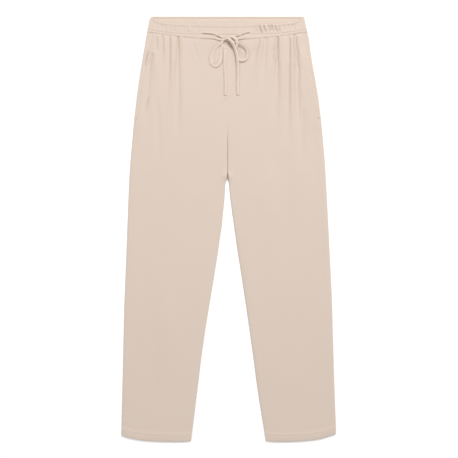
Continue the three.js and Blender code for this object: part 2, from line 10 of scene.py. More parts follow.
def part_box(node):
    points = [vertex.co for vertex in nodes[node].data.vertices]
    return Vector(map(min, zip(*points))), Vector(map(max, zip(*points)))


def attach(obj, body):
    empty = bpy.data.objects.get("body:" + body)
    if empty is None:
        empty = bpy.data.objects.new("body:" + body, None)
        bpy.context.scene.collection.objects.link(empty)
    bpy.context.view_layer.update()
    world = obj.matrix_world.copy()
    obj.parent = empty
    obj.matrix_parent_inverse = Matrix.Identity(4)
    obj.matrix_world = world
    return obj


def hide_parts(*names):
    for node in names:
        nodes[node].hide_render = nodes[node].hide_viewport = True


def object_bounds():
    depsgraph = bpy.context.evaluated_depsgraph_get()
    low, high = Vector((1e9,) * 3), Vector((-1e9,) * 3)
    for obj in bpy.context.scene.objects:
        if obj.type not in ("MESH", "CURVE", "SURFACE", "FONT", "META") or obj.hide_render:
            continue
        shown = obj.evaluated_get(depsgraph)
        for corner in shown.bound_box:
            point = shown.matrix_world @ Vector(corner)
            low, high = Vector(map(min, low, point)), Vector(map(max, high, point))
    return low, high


# Pull-on chinos with a gathered waistband and a drawstring tied in a bow, laid flat on their back.
# Metres. Tables are in millimetres: "across" runs outwards from the centre front, "drop" runs down from
# the back waist edge, and heights are above the surface that the chinos lie on.

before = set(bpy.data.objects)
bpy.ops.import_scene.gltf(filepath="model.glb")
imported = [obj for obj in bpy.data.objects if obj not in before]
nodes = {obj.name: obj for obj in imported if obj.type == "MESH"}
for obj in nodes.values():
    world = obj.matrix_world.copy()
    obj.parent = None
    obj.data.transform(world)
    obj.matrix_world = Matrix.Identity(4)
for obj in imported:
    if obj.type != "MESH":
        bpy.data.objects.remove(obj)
cadLow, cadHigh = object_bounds()
mm = 0.001
waistY = cadHigh.y
centreX = (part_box("front_panel_right")[1].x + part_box("front_panel_left")[0].x) / 2
sides = {"right": -1, "left": 1}  # the wearer's own


def place(across, drop, height=0):
    return Vector((centreX + across * mm, waistY - drop * mm, height * mm))


def smoothStep(low, high, value):
    t = np.clip((value - low) / (high - low), 0, 1)
    return t * t * (3 - 2 * t)


def blend(first, second, share):
    return first + (second - first) * share


def fade(low, high, value):  # 1 up to "low", 0 from "high"
    return 1 - smoothStep(low, high, value)


def between(low, high, value):  # how far inside, or outside where that is negative
    return np.minimum(value - low, high - value)


def falling(distance, height, width):  # from "height" down to nothing
    return height * fade(0, width, distance)


def hump(distance, height, width):  # highest in the middle, and falling away on both sides
    return height * np.exp(-((distance / width) ** 2))


def newObject(name, data):
    thing = bpy.data.objects.new(name, data)
    bpy.context.scene.collection.objects.link(thing)
    return thing


def addObject(name, mesh, material):
    piece = newObject(name, mesh)
    mesh.materials.append(material)
    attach(piece, "root")
    return piece


def meshFrom(name, points, faces, sharpAngle=50):
    mesh = bpy.data.meshes.new(name)
    mesh.from_pydata([tuple(p) for p in points], [], faces)
    mesh.validate()
    mesh.shade_smooth()
    mesh.set_sharp_from_angle(angle=math.radians(sharpAngle))
    return mesh


# Camera

camera = {
    "place": (0.0005, 0, 3.5),
    "frameWidth": 1.0777,
    "sensor": 36,
    "clip": (0.05, 20),
}


def makeCamera():
    data = bpy.data.cameras.new("camera")
    data.sensor_width = camera["sensor"]
    data.lens = camera["sensor"] * camera["place"][2] / camera["frameWidth"]
    data.clip_start, data.clip_end = camera["clip"]
    viewer = newObject("camera", data)
    viewer.location = camera["place"]
    bpy.context.scene.camera = viewer


makeCamera()
print("camera ready")


# Shader groups

def newGroup(name, output, **inputs):
    group = bpy.data.node_groups.new(name, "ShaderNodeTree")
    for label, value in inputs.items():
        socket = group.interface.new_socket(label, in_out="INPUT", socket_type="NodeSocketFloat")
        socket.default_value = value
    group.interface.new_socket(output, in_out="OUTPUT", socket_type="NodeSocketFloat")
    ends = group.nodes.new("NodeGroupInput").outputs, group.nodes.new("NodeGroupOutput").inputs[output]
    return group, group.links, *ends


def setInputs(node, values):
    for label, value in values.items():
        node.inputs[label].default_value = value


def noiseTexture(tree, at, **values):
    texture = tree.nodes.new("ShaderNodeTexNoise")
    setInputs(texture, values)
    tree.links.new(at, texture.inputs["Vector"])
    return texture


def flatPlace(tree):  # the garment's own flat coordinates
    return tree.nodes.new("ShaderNodeTexCoord").outputs["Object"]


def mathNode(tree, operation, *values):
    node = tree.nodes.new("ShaderNodeMath")
    node.operation = operation
    for socket, value in zip(node.inputs, values):
        if isinstance(value, (int, float)):
            socket.default_value = value
        else:
            tree.links.new(value, socket)
    return node.outputs[0]


# Plain weave: height of the crossing threads.
def makeWeaveGroup():
    group, links, given, out = newGroup("plainWeave", "Height", Pitch=0.0006, Turn=0)
    turned = group.nodes.new("ShaderNodeVectorRotate")
    turned.rotation_type = "Z_AXIS"
    links.new(flatPlace(group), turned.inputs["Vector"])
    links.new(given["Turn"], turned.inputs["Angle"])
    split = group.nodes.new("ShaderNodeSeparateXYZ")
    links.new(turned.outputs["Vector"], split.inputs["Vector"])
    u, v = (mathNode(group, "DIVIDE", split.outputs[axis], given["Pitch"]) for axis in "XY")

    def thread(along, cross):
        body = mathNode(group, "SINE", mathNode(group, "MULTIPLY", along, math.pi))
        parity = mathNode(group, "ADD", cross, mathNode(group, "FLOOR", along))
        over = mathNode(group, "SINE", mathNode(group, "MULTIPLY", parity, math.pi))
        over = mathNode(group, "MULTIPLY_ADD", over, 0.5, 0.5)
        return mathNode(group, "MULTIPLY", mathNode(group, "ABSOLUTE", body), over)

    links.new(mathNode(group, "MAXIMUM", thread(u, v), thread(v, mathNode(group, "ADD", u, 1))), out)
    return group


# Slub: thicker and thinner threads, as faint streaks both ways, from -1 to 1.
def makeSlubGroup():
    group, links, given, out = newGroup("slub", "Streaks", Fine=900, Long=22)
    split = group.nodes.new("ShaderNodeSeparateXYZ")
    links.new(flatPlace(group), split.inputs["Vector"])

    def streaks(**scales):
        joined = group.nodes.new("ShaderNodeCombineXYZ")
        for axis, scale in scales.items():
            links.new(mathNode(group, "MULTIPLY", split.outputs[axis], given[scale]), joined.inputs[axis])
        return noiseTexture(group, joined.outputs["Vector"], Scale=1, Detail=3).outputs["Fac"]

    both = mathNode(group, "ADD", streaks(X="Fine", Y="Long"), streaks(X="Long", Y="Fine"))
    links.new(mathNode(group, "MULTIPLY_ADD", both, 2, -2), out)
    return group


# Painted shade: soft large lighter and darker patches, standing in for the shading of the cloth's gentle
# undulations under the light, from -1 to 1.
def makeShadePatchGroup():
    group, links, given, out = newGroup("shadePatches", "PaintedShade", Patch=14)
    texture = noiseTexture(group, flatPlace(group), Detail=2)
    links.new(given["Patch"], texture.inputs["Scale"])
    links.new(mathNode(group, "MULTIPLY_ADD", texture.outputs["Fac"], 2, -1), out)
    return group


weaveGroup = makeWeaveGroup()
slubGroup = makeSlubGroup()
shadePatchGroup = makeShadePatchGroup()


# Materials

clothFinish = {
    "colour": (0.695, 0.582, 0.498),
    "streakColour": (0.63, 0.52, 0.436),
    "streakShare": 0.10,
    # how strongly the painted shade patches lighten and darken the cloth
    "shadePatchShare": 0.08,
    "roughness": 0.88,
    "specular": 0.25,
    "sheen": 0.12,
    "sheenRoughness": 0.5,
    "darker": 0.15,  # how far the streaks' colour takes part everywhere
    "weavePitch": 0.0007,
    "weaveHeight": 0.00012,
    "weaveTurn": 0,
    "slubHeight": 0.3,  # beside the weave's
    "bump": 0.35,
}
bandFinish = {**clothFinish, "weaveTurn": math.pi / 2, "streakShare": 0.12}
tapeFinish = {
    **clothFinish,
    "colour": (0.73, 0.612, 0.52),
    "streakColour": (0.63, 0.52, 0.43),
    "streakShare": 0.16,
    "weavePitch": 0.0006,
    "weaveTurn": 0.2,
    "bump": 0.5,
}
threadFinish = {
    "colour": (0.665, 0.56, 0.48),
    "darkColour": (0.57, 0.475, 0.40),
    "roughness": 0.7,
    "twistScale": 2600,
    "twistHeight": 0.0001,
    "bump": 0.4,
}


def addGroup(tree, group, **values):
    node = tree.nodes.new("ShaderNodeGroup")
    node.node_tree = group
    setInputs(node, values)
    return node


def newMaterial(name, values):
    material = bpy.data.materials.new(name)
    material.use_nodes = True
    shader = material.node_tree.nodes["Principled BSDF"]
    setInputs(shader, values)
    return material, material.node_tree, shader


def mixInto(tree, shader, first, second, share):
    mix = tree.nodes.new("ShaderNodeMix")
    mix.data_type = "RGBA"
    setInputs(mix, {"A": (*first, 1), "B": (*second, 1)})
    tree.links.new(share, mix.inputs["Factor"])
    tree.links.new(mix.outputs["Result"], shader.inputs["Base Color"])


def bumpInto(tree, shader, height, strength, distance):
    bump = tree.nodes.new("ShaderNodeBump")
    setInputs(bump, {"Strength": strength, "Distance": distance})
    tree.links.new(height, bump.inputs["Height"])
    tree.links.new(bump.outputs["Normal"], shader.inputs["Normal"])


def makeClothMaterial(name, finish):
    surface = {
        "Roughness": finish["roughness"], "Specular IOR Level": finish["specular"],
        "Sheen Weight": finish["sheen"], "Sheen Roughness": finish["sheenRoughness"],
    }
    material, tree, shader = newMaterial(name, surface)
    slubs = addGroup(tree, slubGroup).outputs["Streaks"]
    shadePatches = addGroup(tree, shadePatchGroup).outputs["PaintedShade"]
    streaks = mathNode(tree, "MULTIPLY", slubs, finish["streakShare"])
    # painted shade: soft patches standing in for the shading of gentle undulations
    patches = mathNode(tree, "MULTIPLY", shadePatches, finish["shadePatchShare"])
    darker = mathNode(tree, "ADD", mathNode(tree, "ADD", streaks, patches), finish["darker"])
    mixInto(tree, shader, finish["colour"], finish["streakColour"], darker)
    weave = addGroup(tree, weaveGroup, Pitch=finish["weavePitch"], Turn=finish["weaveTurn"])
    height = mathNode(tree, "MULTIPLY_ADD", slubs, finish["slubHeight"], weave.outputs["Height"])
    bumpInto(tree, shader, height, finish["bump"], finish["weaveHeight"])
    return material


def makeThreadMaterial(name, finish):
    material, tree, shader = newMaterial(name, {"Roughness": finish["roughness"]})
    twist = noiseTexture(tree, flatPlace(tree), Scale=finish["twistScale"]).outputs["Fac"]
    mixInto(tree, shader, finish["colour"], finish["darkColour"], twist)
    bumpInto(tree, shader, twist, finish["bump"], finish["twistHeight"])
    return material


panelCloth = makeClothMaterial("panelCloth", clothFinish)
bandCloth = makeClothMaterial("bandCloth", bandFinish)
tapeCloth = makeClothMaterial("tapeCloth", tapeFinish)
sewingThread = makeThreadMaterial("sewingThread", threadFinish)
print("materials ready")


# Drawstring

tape = {
    "width": 7.2,
    "step": 1.2,  # distance between the rings of a tape
    "lift": 0.8,
    "sharpAngle": 60,
}

# The tape's cross-section: share of its half width, height above its middle, and how much of that goes
# where the stitches along its edge pull it in.
tapeEdge = [
    (1, -0.6, 0), (0.97, -0.25, 0), (0.87, 0.05, 0), (0.76, 0.3, 0.6), (0.64, 0.5, 1.2), (0.5, 0.72, 0.7),
    (0.3, 0.92, 0),
]
otherEdge = [(-share, lift, dip) for share, lift, dip in reversed(tapeEdge)]
tapeProfile = [*tapeEdge, (0, 1, 0), *otherEdge, (-0.9, -0.88, 0), (0, -0.9, 0), (0.9, -0.88, 0)]

# Each string: x, y and z of the tape's middle, how far its right-hand edge is turned up, in degrees, its
# share of the full width, because the knot bunches it, and how deep the stitches pull in its right-hand
# edge, or the other one where that is negative.
stringRoutes = {
    "tie_string_left": [
        (50.4, 454.8, 5.2, 0, 0.9, 0.4), (42.4, 452.6, 6.4, 0, 1, 0.8), (32.4, 449.4, 7.2, 0, 1, 0.8),
        (24.4, 447, 8.2, 0, 0.9, 0.6), (17.8, 445, 9, 0, 0.75, 0.4), (10, 443.4, 8.4, 0, 0.5, 0),
        (2, 445.4, 7.6, 0, 0.5, 0), (-6, 445.2, 7.4, 0, 0.5, 0), (-12, 441, 8, 0, 0.8, 0.8),
        (-16.4, 436, 8.8, 5, 1, 1.2), (-20.8, 432.4, 8.6, 16, 1.1, 1.2), (-26.6, 426, 7.6, 20, 1.25, 1.2),
        (-32, 418, 6.6, 18, 1.4, 0.8), (-36.6, 408, 6, 12, 1.45, 0.4), (-38.8, 398, 5.8, 6, 1.45, 0),
        (-36.8, 388.6, 6.1, -8, 1.3, -1), (-30.6, 383, 6.1, 0, 1.1, -1), (-23.6, 384.8, 6.8, 10, 1.1, 0.6),
        (-18.6, 392.4, 6.6, 16, 1.3, 1), (-16.2, 403, 5.9, 12, 1.4, 1), (-15.6, 413, 6.2, 12, 1.35, 1.1),
        (-14.6, 421, 6.8, 8, 1.1, 1.1), (-12.2, 427.6, 7.2, 4, 0.8, 0.7), (-15.4, 434.6, 6.6, 0, 0.5, 0),
        (-12.6, 441, 7.4, 0, 0.4, 0), (-4, 446.8, 10, 10, 0.7, 0), (2, 447, 12.8, 15, 0.9, 0.4),
        (7.2, 442.8, 15, 15, 1, 0.8), (12, 436.6, 14.8, 12, 1, 1), (15.8, 429.6, 12.8, 10, 1, 1.2),
        (19.2, 421, 10.8, 8, 1, 1.2), (22, 409.6, 9.5, 6, 1, 1.2), (23.6, 396, 8.9, 4, 1, 1.2),
        (24, 381, 7, 3, 1, 1.2), (24.2, 355, 6.2, 2, 1, 1), (24.5, 332, 6.2, 10, 1, 0.6),
        (24.7, 315, 6.1, 4, 1, 0.6),
    ],
    "tie_string_right": [
        (-57, 454, 5.2, 0, 0.9, -0.5), (-46, 453.2, 6.4, 0, 1, -0.8), (-34.6, 451, 7.2, 0, 1, -1),
        (-24, 447.2, 8, 0, 1, -1), (-13.2, 444.2, 9, 0, 0.75, -0.6), (-6, 444.6, 8.8, 0, 0.5, 0),
        (2, 443.4, 8.8, 0, 0.5, 0), (11, 440.4, 9.4, -10, 0.6, 0), (18.6, 437.4, 9.6, -40, 0.9, 0),
        (25, 434.8, 9.4, -54, 1, 0), (34.2, 429.6, 8.4, -56, 1, 0.2), (42, 422.6, 7.1, -44, 1, 0),
        (46, 413.6, 6.4, -26, 1, -0.2), (45, 403.4, 6.2, -22, 1, -0.6), (39.4, 397.4, 6.1, -24, 1, -0.8),
        (31, 396.8, 6.1, -20, 1, -0.8), (24.8, 401.4, 6.2, -12, 1, -0.6), (22, 409, 6.4, 0, 1, 0),
        (19.6, 416, 6.7, 0, 0.9, 0), (16.6, 423.4, 7.2, 0, 0.8, 0), (13, 431, 7.4, 0, 0.5, 0),
        (7, 439, 7.4, 0, 0.4, 0), (1, 442.4, 4.6, 0, 0.4, 0), (-4, 436.4, 2.9, 0, 0.4, 0),
        (-3.4, 427.6, 3.3, 0, 0.7, 0), (-5.4, 419, 5.5, 0, 1, 0), (-7, 404, 6.3, 1, 1, 0.2),
        (-6.8, 384, 6.1, 2, 1, 0.6), (-5, 356, 6.1, 3, 1, 0.9), (-4.7, 314, 6.1, 3, 1, 1),
    ],
}


# A smooth curve through all columns of a list of points, with rings about "step" apart.
def smoothRoute(points, step):
    knots = np.array(points, float)
    gaps = np.sqrt(np.linalg.norm(np.diff(knots[:, :3], axis=0), axis=1))
    at = np.concatenate([[0], np.cumsum(gaps)])
    slopes = np.empty_like(knots)
    slopes[1:-1] = (knots[2:] - knots[:-2]) / (at[2:] - at[:-2])[:, None]
    slopes[0] = (knots[1] - knots[0]) / (at[1] - at[0])
    slopes[-1] = (knots[-1] - knots[-2]) / (at[-1] - at[-2])
    rings = []
    for i in range(len(knots) - 1):
        span = at[i + 1] - at[i]
        count = max(2, round(np.linalg.norm(knots[i + 1, :3] - knots[i, :3]) / step))
        for k in range(count):
            t = k / count
            rings.append(
                (2 * t**3 - 3 * t**2 + 1) * knots[i] + (t**3 - 2 * t**2 + t) * span * slopes[i]
                + (3 * t**2 - 2 * t**3) * knots[i + 1] + (t**3 - t**2) * span * slopes[i + 1]
            )
    rings.append(knots[-1])
    return np.array(rings)


# A flat tape swept along its rings. A turned tape stands on its lower edge, so its middle is lifted.
def sweepTape(name, rings):
    half, count = tape["width"] / 2, len(tapeProfile)
    line = rings[:, :3].copy()
    line[:, 2] += half * tape["lift"] * np.abs(np.sin(np.radians(rings[:, 3]))) * rings[:, 4]
    tangents = np.gradient(line, axis=0)
    tangents /= np.linalg.norm(tangents, axis=1)[:, None]
    points, faces = [], []
    for index, (ring, middle, tangent) in enumerate(zip(rings, line, tangents)):
        sideways = np.cross(tangent, (0, 0, 1))
        sideways /= max(np.linalg.norm(sideways), 1e-6)
        up = np.cross(sideways, tangent)
        turn = math.radians(ring[3])
        flat = math.cos(turn) * sideways + math.sin(turn) * up
        thick = -math.sin(turn) * sideways + math.cos(turn) * up
        for share, lift, dip in tapeProfile:
            pull = max(ring[5] * np.sign(share), 0)
            points.append(middle + flat * share * half * ring[4] + thick * (lift - dip * pull))
        if index:
            for k in range(count):
                a, b = (index - 1) * count + k, (index - 1) * count + (k + 1) % count
                faces.append((a, b, b + count, a + count))
    faces.append(tuple(range(count - 1, -1, -1)))
    faces.append(tuple(range(len(points) - count, len(points))))
    points, path = ([(centreX + x * mm, y * mm, z * mm) for x, y, z in rows] for rows in (points, line))
    return meshFrom(name, points, faces, tape["sharpAngle"]), path


strings, paths = {}, {}
for name, route in stringRoutes.items():
    mesh, paths[name] = sweepTape(name, smoothRoute(route, tape["step"]))
    strings[name] = addObject(name, mesh, tapeCloth)
    print(name, "length", round(sum(math.dist(a, b) for a, b in zip(paths[name], paths[name][1:])), 4))

# The knot's outer wrap, over the top and down the right-hand side.
knotWrap = [
    (-5, 449.6, 8, 0, 0.7, 0), (1.2, 451.4, 10.2, 8, 0.85, 0.4), (8, 451.8, 11.8, 12, 0.95, 0.6),
    (15, 449.4, 12.8, 12, 1, 0.6), (20.4, 444.4, 13.2, 8, 1, 0.4), (22.6, 437, 12.8, 0, 0.95, 0.2),
    (22, 430, 11.2, 0, 0.85, 0), (20.4, 425.4, 9.4, 0, 0.7, 0),
]
knotMesh = sweepTape("tie_knot_wrap", smoothRoute(knotWrap, tape["step"]))[0]
knot = addObject("tie_knot_wrap", knotMesh, tapeCloth)
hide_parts("tie_lead_right", "tie_loop_left", "tie_tail_right")
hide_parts("tie_lead_left", "tie_loop_right", "tie_tail_left")
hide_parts("tie_knot")
print("drawstring ready")


# Cloth pieces, laid over the frame's own solids. Corners lie this way, as shares of across and drop.
panelCorners = {"innerTop": (-3, -1), "outerTop": (0.5, -1), "outerBottom": (1, 1), "innerBottom": (-1, 1)}
bandCorners = {**panelCorners, "innerTop": (-0.5, -1), "outerBottom": (1, 0.8), "innerBottom": (-1, 0.8)}

levelNormal = 0.15  # faces count as upward from here
rayInset, rayHeight = 0.05, 100  # rays start this far inside the outline and this high


class Solid:  # the upward side of a CAD node: its outline in four edges, and its height
    def __init__(self, name, side, corners):
        self.side = side
        source = bmesh.new()
        source.from_mesh(nodes[name].data)
        bmesh.ops.remove_doubles(source, verts=source.verts, dist=1e-6)
        source.normal_update()
        down = [f for f in source.faces if f.normal.z < levelNormal]
        bmesh.ops.delete(source, geom=down, context="FACES")
        self.tree = BVHTree.FromBMesh(source)
        rim = self.walkRim(source)
        source.free()
        picks = [int(np.argmax(rim @ np.array(corners[key]))) for key in corners]
        rim = np.roll(rim, -picks[0], axis=0)
        picks = [(pick - picks[0]) % len(rim) for pick in picks]
        if picks[1] > picks[3]:
            rim = np.roll(rim[::-1], 1, axis=0)
            picks = [-pick % len(rim) for pick in picks]
        stops = picks + [len(rim)]
        looped = np.vstack([rim, rim[:1]])
        self.top, self.outer, self.bottom, self.inner = (
            looped[stops[i] : stops[i + 1] + 1] for i in range(4)
        )

    def walkRim(self, source):
        border = {edge: None for edge in source.edges if len(edge.link_faces) == 1}
        edge = next(iter(border))
        vertex, rim = edge.verts[0], []
        while edge is not None:
            del border[edge]
            rim.append(((vertex.co.x - centreX) / mm * self.side, (waistY - vertex.co.y) / mm))
            vertex = edge.other_vert(vertex)
            edge = next((e for e in vertex.link_edges if e in border), None)
        return np.array(rim)

    def edgeAt(self, edge, key, at):  # the other coordinate of an edge, where its column "key" is "at"
        rows = edge[np.argsort(edge[:, key], kind="stable")]
        return np.interp(at, rows[:, key], rows[:, 1 - key])

    def grid(self, columns, rows):  # columns and rows are shares, from inner to outer and from top to bottom
        u, t = np.meshgrid(columns, rows)
        innerTop, outerTop, outerBottom, innerBottom = *self.top[[0, -1]], *self.bottom[[0, -1]]
        topAcross = blend(innerTop[0], outerTop[0], u)
        bottomAcross = blend(innerBottom[0], outerBottom[0], u)
        topDrop = self.edgeAt(self.top, 0, topAcross)
        bottomDrop = self.edgeAt(self.bottom, 0, bottomAcross)
        innerAcross = self.edgeAt(self.inner, 1, blend(innerTop[1], innerBottom[1], t))
        outerAcross = self.edgeAt(self.outer, 1, blend(outerTop[1], outerBottom[1], t))
        return blend(innerAcross, outerAcross, u), blend(topDrop, bottomDrop, t)

    def heights(self, across, drop):  # just inside the outline, so that no ray misses
        nearAcross = across + np.sign(across.mean(axis=1, keepdims=True) - across) * rayInset
        nearDrop = drop + np.sign(drop.mean(axis=0, keepdims=True) - drop) * rayInset
        starts = [place(self.side * a, d, rayHeight) for a, d in zip(nearAcross.flat, nearDrop.flat)]
        found = [self.tree.ray_cast(start, Vector((0, 0, -1)))[0].z / mm for start in starts]
        return np.reshape(found, across.shape)


def soften(values, columnPasses=1, rowPasses=1):
    values = values.T.copy()
    for passes in (columnPasses, rowPasses):
        for _ in range(passes):
            values[1:-1] = (values[:-2] + 2 * values[1:-1] + values[2:]) / 4
        values = values.T
    return values.T


usualRim = (0.35, 0.8, 1.4, 2.2, 3.2)


# Shares from 0 to 1 over stretches, each with its end and its step, closer near both ends.
def shares(stretches, rim=usualRim):
    length = stretches[-1][0]
    start, inside = rim[-1] + 1, []
    for end, step in stretches:
        end = min(end, length - rim[-1] - 1)
        inside += list(np.linspace(start, end, max(2, round((end - start) / step)), endpoint=False))
        start = end
    inside.append(start)
    near = [0, *rim]
    return np.array([*near, *inside, *[length - x for x in reversed(near)]]) / length


# How far each point lies from a bent line of three places, and how far along it that is, from 0 to 1.
def alongLine(across, drop, crease):
    start, middle, end = np.array(crease[:6]).reshape(3, 2)
    middle = 2 * middle - (start + end) / 2
    pieces = 16
    t = np.linspace(0, 1, pieces + 1)[:, None]
    line = (1 - t) ** 2 * start + 2 * t * (1 - t) * middle + t**2 * end
    best, along = np.full(across.shape, np.inf), np.zeros(across.shape)
    for k, (a, d) in enumerate(line[:-1]):
        stepA, stepD = line[k + 1] - line[k]
        long = max(stepA**2 + stepD**2, 1e-9)
        share = np.clip(((across - a) * stepA + (drop - d) * stepD) / long, 0, 1)
        away = np.hypot(across - a - share * stepA, drop - d - share * stepD)
        along = np.where(away < best, (k + share) / pieces, along)
        best = np.minimum(away, best)
    return best, along


# Sum of creases. Rows: three places (across, drop), rise, reach, or reach at the start and at the end,
# fade in and fade out as shares of the length, and how sharp it is: 2 is a soft round wave, 1 a pinched fold.
def creaseRelief(across, drop, creases):
    relief = np.zeros(across.shape)
    for crease in creases:
        rise, *reaches, fadeIn, fadeOut, power = crease[6:]
        away, along = alongLine(across, drop, crease)
        reach = blend(reaches[0], reaches[-1], along)
        strength = smoothStep(0, fadeIn, along) * fade(1 - fadeOut, 1, along)
        relief += rise * strength * np.exp(-((away / reach) ** power))
    return relief


def noiseField(across, drop, side, field):
    height, acrossScale, dropScale, seed = field
    points = zip(side * across.ravel() / acrossScale, drop.ravel() / dropScale)
    return height * np.reshape([noise.noise(Vector((*point, seed))) for point in points], across.shape)


# About 1 along a seam, and more or less in places, from "least" to 2.
def uneven(across, side, field, least=0.1):
    return np.clip(1 + noiseField(across, np.zeros_like(across), side, field), least, 2)


# A closed wall of cloth between two sheets of heights over one grid.
def clothWall(name, side, across, drop, top, under):
    rows, columns = across.shape
    xs, ys = centreX + side * across * mm, waistY - drop * mm
    points = np.vstack([np.stack([xs, ys, zs * mm], axis=-1).reshape(-1, 3) for zs in (top, under)])
    index = np.arange(rows * columns).reshape(rows, columns)
    a, b, c, d = index[:-1, :-1], index[1:, :-1], index[1:, 1:], index[:-1, 1:]
    upper = np.stack([a, b, c, d], axis=-1).reshape(-1, 4)
    lower = upper[:, ::-1] + rows * columns
    border = np.concatenate([index[0, :-1], index[:-1, -1], index[-1, :0:-1], index[:0:-1, 0]])
    following = np.roll(border, -1)
    rim = np.stack([border, following, following + rows * columns, border + rows * columns], axis=-1)
    faces = np.vstack([upper, lower, rim])
    return meshFrom(name, points.tolist(), (faces[:, ::-1] if side < 0 else faces).tolist(), 45)


# Never below "lowest", with a soft bend.
def softFloor(height, lowest, bend=0.3):
    return lowest + (height - lowest + np.hypot(height - lowest, bend)) / 2


# How much lower the cloth lies near an edge that is folded round: 0 inside, "depth" at the edge.
def rolledEdge(distance, width, depth):
    part = np.clip(distance / width, 0, 1)
    return depth * (1 - np.sqrt(1 - (1 - part) ** 2))


# The grid laid over a solid (across, drop), and the solid's height at each point.
def layOut(solid, given):
    across, drop = solid.grid(shares(given["columns"]), shares(given["rows"], given.get("rim", usualRim)))
    return across, drop, soften(solid.heights(across, drop), *given.get("softening", ()))


# How far each point of a grid lies from its four edges: inner, outer, top and bottom.
def fromEdges(across, drop):
    return across - across[:, :1], across[:, -1:] - across, drop - drop[:1], drop[-1:] - drop


panelKind = {"material": panelCloth, "slot": "cloth", "held": "laid"}
bandKind = {"material": bandCloth, "slot": "waistband_cloth", "held": "gathered"}


# A cloth piece in the place of its node, which it hides.
def layCloth(name, side, across, drop, top, under, kind):
    mesh = clothWall(name + "_cloth", side, across, drop, top, under)
    piece = addObject(name + "_cloth", mesh, kind["material"])
    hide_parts(name)
    return piece


# Sewing thread: short stitches that rise out of the cloth and go back into it
stitch = {
    "pitch": 2.6,
    "long": 1.9,
    "radius": 0.22,
    "rise": 0.1,
    "sink": 0.2,
    "shift": 0.25,  # how unevenly they start
    "shiftSeed": 7.7,
    "sides": 6,
    "sharpAngle": 80,
    "tackHeight": 4.8,  # a bar tack's height, and the gap between its stitches
    "tackGap": 0.8,
    # along one stitch: place, thickness and height, each as a share
    "shape": [(0, 0, 0), (0.14, 0.8, 0.5), (0.38, 1, 0.95), (0.62, 1, 0.95), (0.86, 0.8, 0.5), (1, 0, 0)],
}


# Stitches along a line of (across, drop), each as its two ends.
def stitchesAlong(line):
    knots = np.array(line, float)
    at = np.concatenate([[0], np.cumsum(np.hypot(*np.diff(knots, axis=0).T))])
    starts = np.arange(0, at[-1] - stitch["long"], stitch["pitch"])
    spots = [Vector((start, knots[0][0], stitch["shiftSeed"])) for start in starts]
    starts = starts + [stitch["shift"] * noise.noise(spot) for spot in spots]
    ends = np.stack([starts, starts + stitch["long"]], axis=1)
    return list(np.stack([np.interp(ends, at, column) for column in knots.T], axis=-1))


# Close stitches side by side, from one place across to another.
def barTack(nearAcross, farAcross, drop):
    rows = np.arange(drop, drop + stitch["tackHeight"], stitch["tackGap"])
    return [np.array([(nearAcross, row), (farAcross, row + stitch["tackGap"] / 2)]) for row in rows]


# One stitch's rings, each as its middle and its radius, or fewer where it runs off the cloth.
def stitchRings(surface, start, end, up):
    rings = []
    for share, thickness, height in stitch["shape"]:
        spot = place(*blend(start, end, share))
        hit = surface.ray_cast(spot + up * 0.1, -up)[0]
        if hit is None:
            break
        lift = (-stitch["sink"] + (stitch["rise"] + stitch["sink"]) * height) * mm
        rings.append((hit + up * lift, thickness * stitch["radius"] * mm))
    return rings


def sew(name, piece, stitches, below=False):
    source = bmesh.new()
    source.from_mesh(piece.data)
    surface = BVHTree.FromBMesh(source)
    source.free()
    up = Vector((0, 0, -1 if below else 1))
    sides = stitch["sides"]
    points, faces = [], []
    for start, end in stitches:
        rings = stitchRings(surface, start, end, up)
        if len(rings) < len(stitch["shape"]):
            continue
        sideways = (place(*end) - place(*start)).normalized().cross(up)
        first = len(points)
        points.append(rings[0][0])
        for middle, radius in rings[1:-1]:
            for k in range(sides):
                turn = 2 * math.pi * k / sides
                points.append(middle + (sideways * math.cos(turn) + up * math.sin(turn)) * radius)
        points.append(rings[-1][0])
        last = len(points) - 1
        lastRing = last - first - 1 - sides
        for k in range(sides):
            a, b = first + 1 + k, first + 1 + (k + 1) % sides
            faces.append((first, a, b))
            for low in range(0, lastRing, sides):
                faces.append((a + low, a + low + sides, b + low + sides, b + low))
            faces.append((last, b + lastRing, a + lastRing))
    addObject(name, meshFrom(name, points, faces, stitch["sharpAngle"]), sewingThread)


def hemStitches(side, across, drop, inside):
    line = np.stack([side * across[-1], drop[-1] - frontPanel["hemStitches"]], axis=1)
    return stitchesAlong(line[inside])


